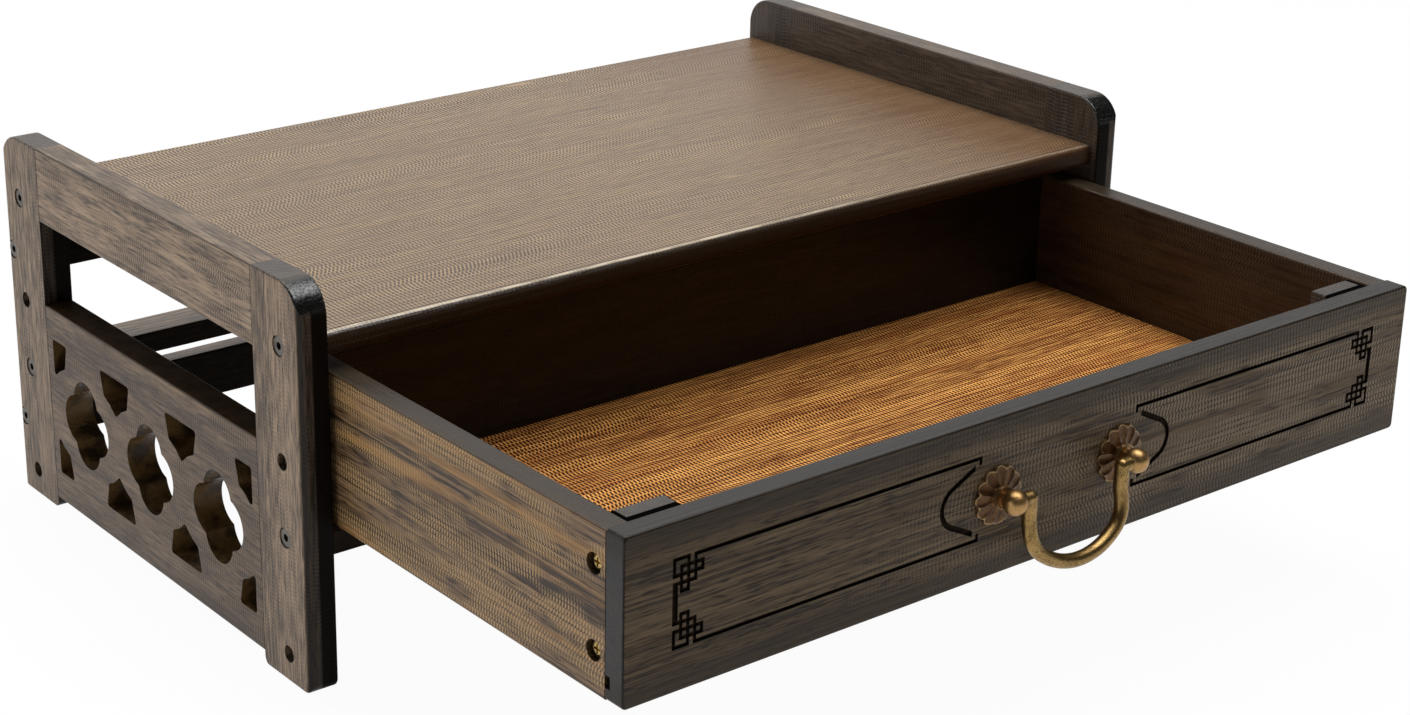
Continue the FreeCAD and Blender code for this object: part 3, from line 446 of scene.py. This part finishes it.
dress(antique_metal("bail_brass", (0.35, 0.225, 0.085), (0.060, 0.036, 0.014), 0.35), "handle_bail")
stud_brass = antique_metal("stud_brass", (0.42, 0.255, 0.100), (0.27, 0.155, 0.065), 0.38)
dress(stud_brass, "left_ball_stud", "right_ball_stud")

stud_offset, stud_height = 0.0323, 0.10025
petals, petal_centre, petal_rim_start, petal_rim_end = 12, 0.0084, 0.0026, 0.0031
cup_inner, cup_outer, rims_start = 0.0041, 0.0047, 0.0075
rosette = antique_metal("rosette_brass", (0.13, 0.072, 0.036), (0.035, 0.019, 0.011), 0.40)
x, _, z = rosette.axes(rosette.place())
out, up = abs(x) - stud_offset, z - stud_height
radius = (out * out + up * up) ** 0.5
turn = up.maths("ARCTAN2", up, out) * (petals / (2 * math.pi))
angle = (turn - (turn + 0.5).floor()) * (2 * math.pi / petals)
over, beside = radius * angle.cosine() - petal_centre, radius * angle.sine()
petal_rim = ((over * over + beside * beside) ** 0.5).smooth(petal_rim_start, petal_rim_end)
petal_rim = petal_rim * (radius > rims_start)
cup_rim = (radius - cup_inner).smooth(-0.0003, 0.0) * (radius < cup_outer)
well = (0.0040 - radius).smooth(0.0, 0.0004)
rimmed = rosette.blend(petal_rim.larger(cup_rim) * 0.75, rosette.colour, (0.36, 0.24, 0.12))
rosette.set(base_color=rosette.blend(well, rimmed, (0.010, 0.006, 0.004)))
dress(rosette, "left_rosette", "right_rosette")


# ---- Bolts, screws and inserts ----
# The drawer's cross-head screws and the threaded inserts are brass.  The socket bolts of the side
# frames and the screws that pin the panels are of darkened steel, sunk flush in the posts.
screw_brass = antique_metal("screw_brass", (0.62, 0.46, 0.18), (0.30, 0.20, 0.07), 0.30)
dress(screw_brass, "corner_block_screws", "drawer_back_screws", "handle_screws", "threaded_inserts")
bolt_steel = antique_metal("bolt_steel", (0.14, 0.125, 0.11), (0.05, 0.042, 0.035), 0.40)
dress(bolt_steel, "frame_bolts", "tenon_screws")


# ---- Floor and light ----
# The stand is on a white table, with one large soft panel overhead and a small one at the left.
# The walls of the studio are pale behind the stand and dark in front of it.
reach = 6.0
gap_below_feet = 0.0002
mesh = bpy.data.meshes.new("table_top")
square = [(-reach, -reach, 0), (reach, -reach, 0), (reach, reach, 0), (-reach, reach, 0)]
mesh.from_pydata(square, [], [(0, 1, 2, 3)])
table_top = bpy.data.objects.new("table_top", mesh)
table_top.location.z = cad_box[0].z - gap_below_feet
bpy.context.collection.objects.link(table_top)

white = Paint(bpy.data.materials.new("white_table"))
mesh.materials.append(white.owner)
white.set(base_color=(0.86, 0.86, 0.86), roughness=0.9)
rays = ("Camera", "Glossy", "Transmission")
seen = sum(white.node("ShaderNodeLightPath", out=f"Is {ray} Ray") for ray in rays)
glow = white.node("ShaderNodeEmission", {}, {"Color": (1.0, 1.0, 1.0), "Strength": 1.0})
white.cover(seen.smaller(1.0) * 0.96, glow)

world = bpy.data.worlds.new("studio")
bpy.context.scene.world = world
sky = Paint(world)
direction = sky.axes(sky.node("ShaderNodeTexCoord", out="Generated"))
walls = {"stops": [(0.0, (0.05, 0.05, 0.05)), (1.0, (1.0, 1.0, 1.0))]}
wall_light = sky.node("ShaderNodeValToRGB", walls, {"Fac": direction[1].smooth(0.30, 0.62)})
behind = sky.node("ShaderNodeLightPath", out="Is Camera Ray")
background = sky.tree.nodes["Background"]
sky.feed(background.inputs["Color"], sky.blend(behind, wall_light, (1.0, 1.0, 1.0)))
sky.feed(background.inputs["Strength"], 1.0)


def panel_light(name, place, aim, width, height, watts):
    lamp = bpy.data.lights.new(name, "AREA")
    lamp.shape = "RECTANGLE"
    lamp.size, lamp.size_y = width, height
    lamp.energy = watts
    stand = bpy.data.objects.new(name, lamp)
    bpy.context.collection.objects.link(stand)
    stand.location = place
    stand.rotation_euler = (Vector(aim) - Vector(place)).to_track_quat("-Z", "Y").to_euler()
    stand.visible_camera = False


panel_light("overhead", (0.30, 0.10, 1.95), (0.1, 0.0, 0.0), 2.6, 1.0, 52.0)
panel_light("left", (-1.6, 0.15, 0.35), (0.0, 0.02, 0.08), 1.6, 0.5, 7.0)


# ---- Camera ----
# A long lens near the left front corner, looking down on the shelf and into the open drawer.
# It is shifted a little, so that the open drawer and the rear left post both come into view.
image_width, image_height = 1410, 715
focal_pixels = 2648.3
principal_x, principal_y = 640.0, 280.0
sensor = 36.0
yaw, pitch, roll = 0.664, -0.346, 0.012

ahead = Vector((math.sin(yaw) * math.cos(pitch), math.cos(yaw) * math.cos(pitch), math.sin(pitch)))
level_right = Vector((math.cos(yaw), -math.sin(yaw), 0.0))
right = level_right * math.cos(roll) + level_right.cross(ahead) * math.sin(roll)
stance = Matrix((right, right.cross(ahead), -ahead)).transposed()

lens = bpy.data.cameras.new("camera")
lens.sensor_width = sensor
lens.lens = focal_pixels * sensor / image_width
lens.shift_x = (image_width / 2 - principal_x) / image_width
lens.shift_y = (principal_y - image_height / 2) / image_width
lens.clip_start, lens.clip_end = 0.05, 20.0
camera = bpy.data.objects.new("camera", lens)
bpy.context.collection.objects.link(camera)
standpoint = (-0.6816, carcass_middle - 0.9189, 0.5012)
camera.matrix_world = Matrix.Translation(standpoint) @ stance.to_4x4()
bpy.context.scene.camera = camera
bpy.context.scene.view_settings.view_transform = "Standard"
